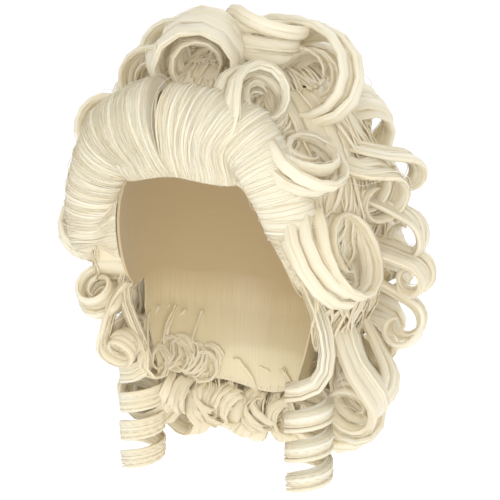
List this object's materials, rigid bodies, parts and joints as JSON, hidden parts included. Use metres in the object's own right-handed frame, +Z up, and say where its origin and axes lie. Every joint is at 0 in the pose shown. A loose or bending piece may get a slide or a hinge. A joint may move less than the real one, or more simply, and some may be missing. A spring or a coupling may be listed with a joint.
{
  "type": "curly wig",
  "caption": "Full wig of pale curls on a fitted fabric cap, hair swept back from the face and a ringlet hanging at each side.",
  "frame": {"origin": "inside of the crown of the cap, where it sits on top of the head", "axes": "+Z up, the face opening towards -Y, the wearer's left towards +X"},
  "size_m": [0.3079, 0.2984, 0.3841],
  "materials": {
    "hair": "soft satin fibre",
    "cap": "matt knitted net"
  },
  "bodies": {
    "root": {"cap": "cap", "front_hair_left": "hair", "front_hair_right": "hair", "crown_curls": "hair", "side_curls_left": "hair", "side_curls_right": "hair", "back_curls": "hair", "nape_curls": "hair", "ringlet_left": "hair", "ringlet_right": "hair"}
  },
  "joints": []
}
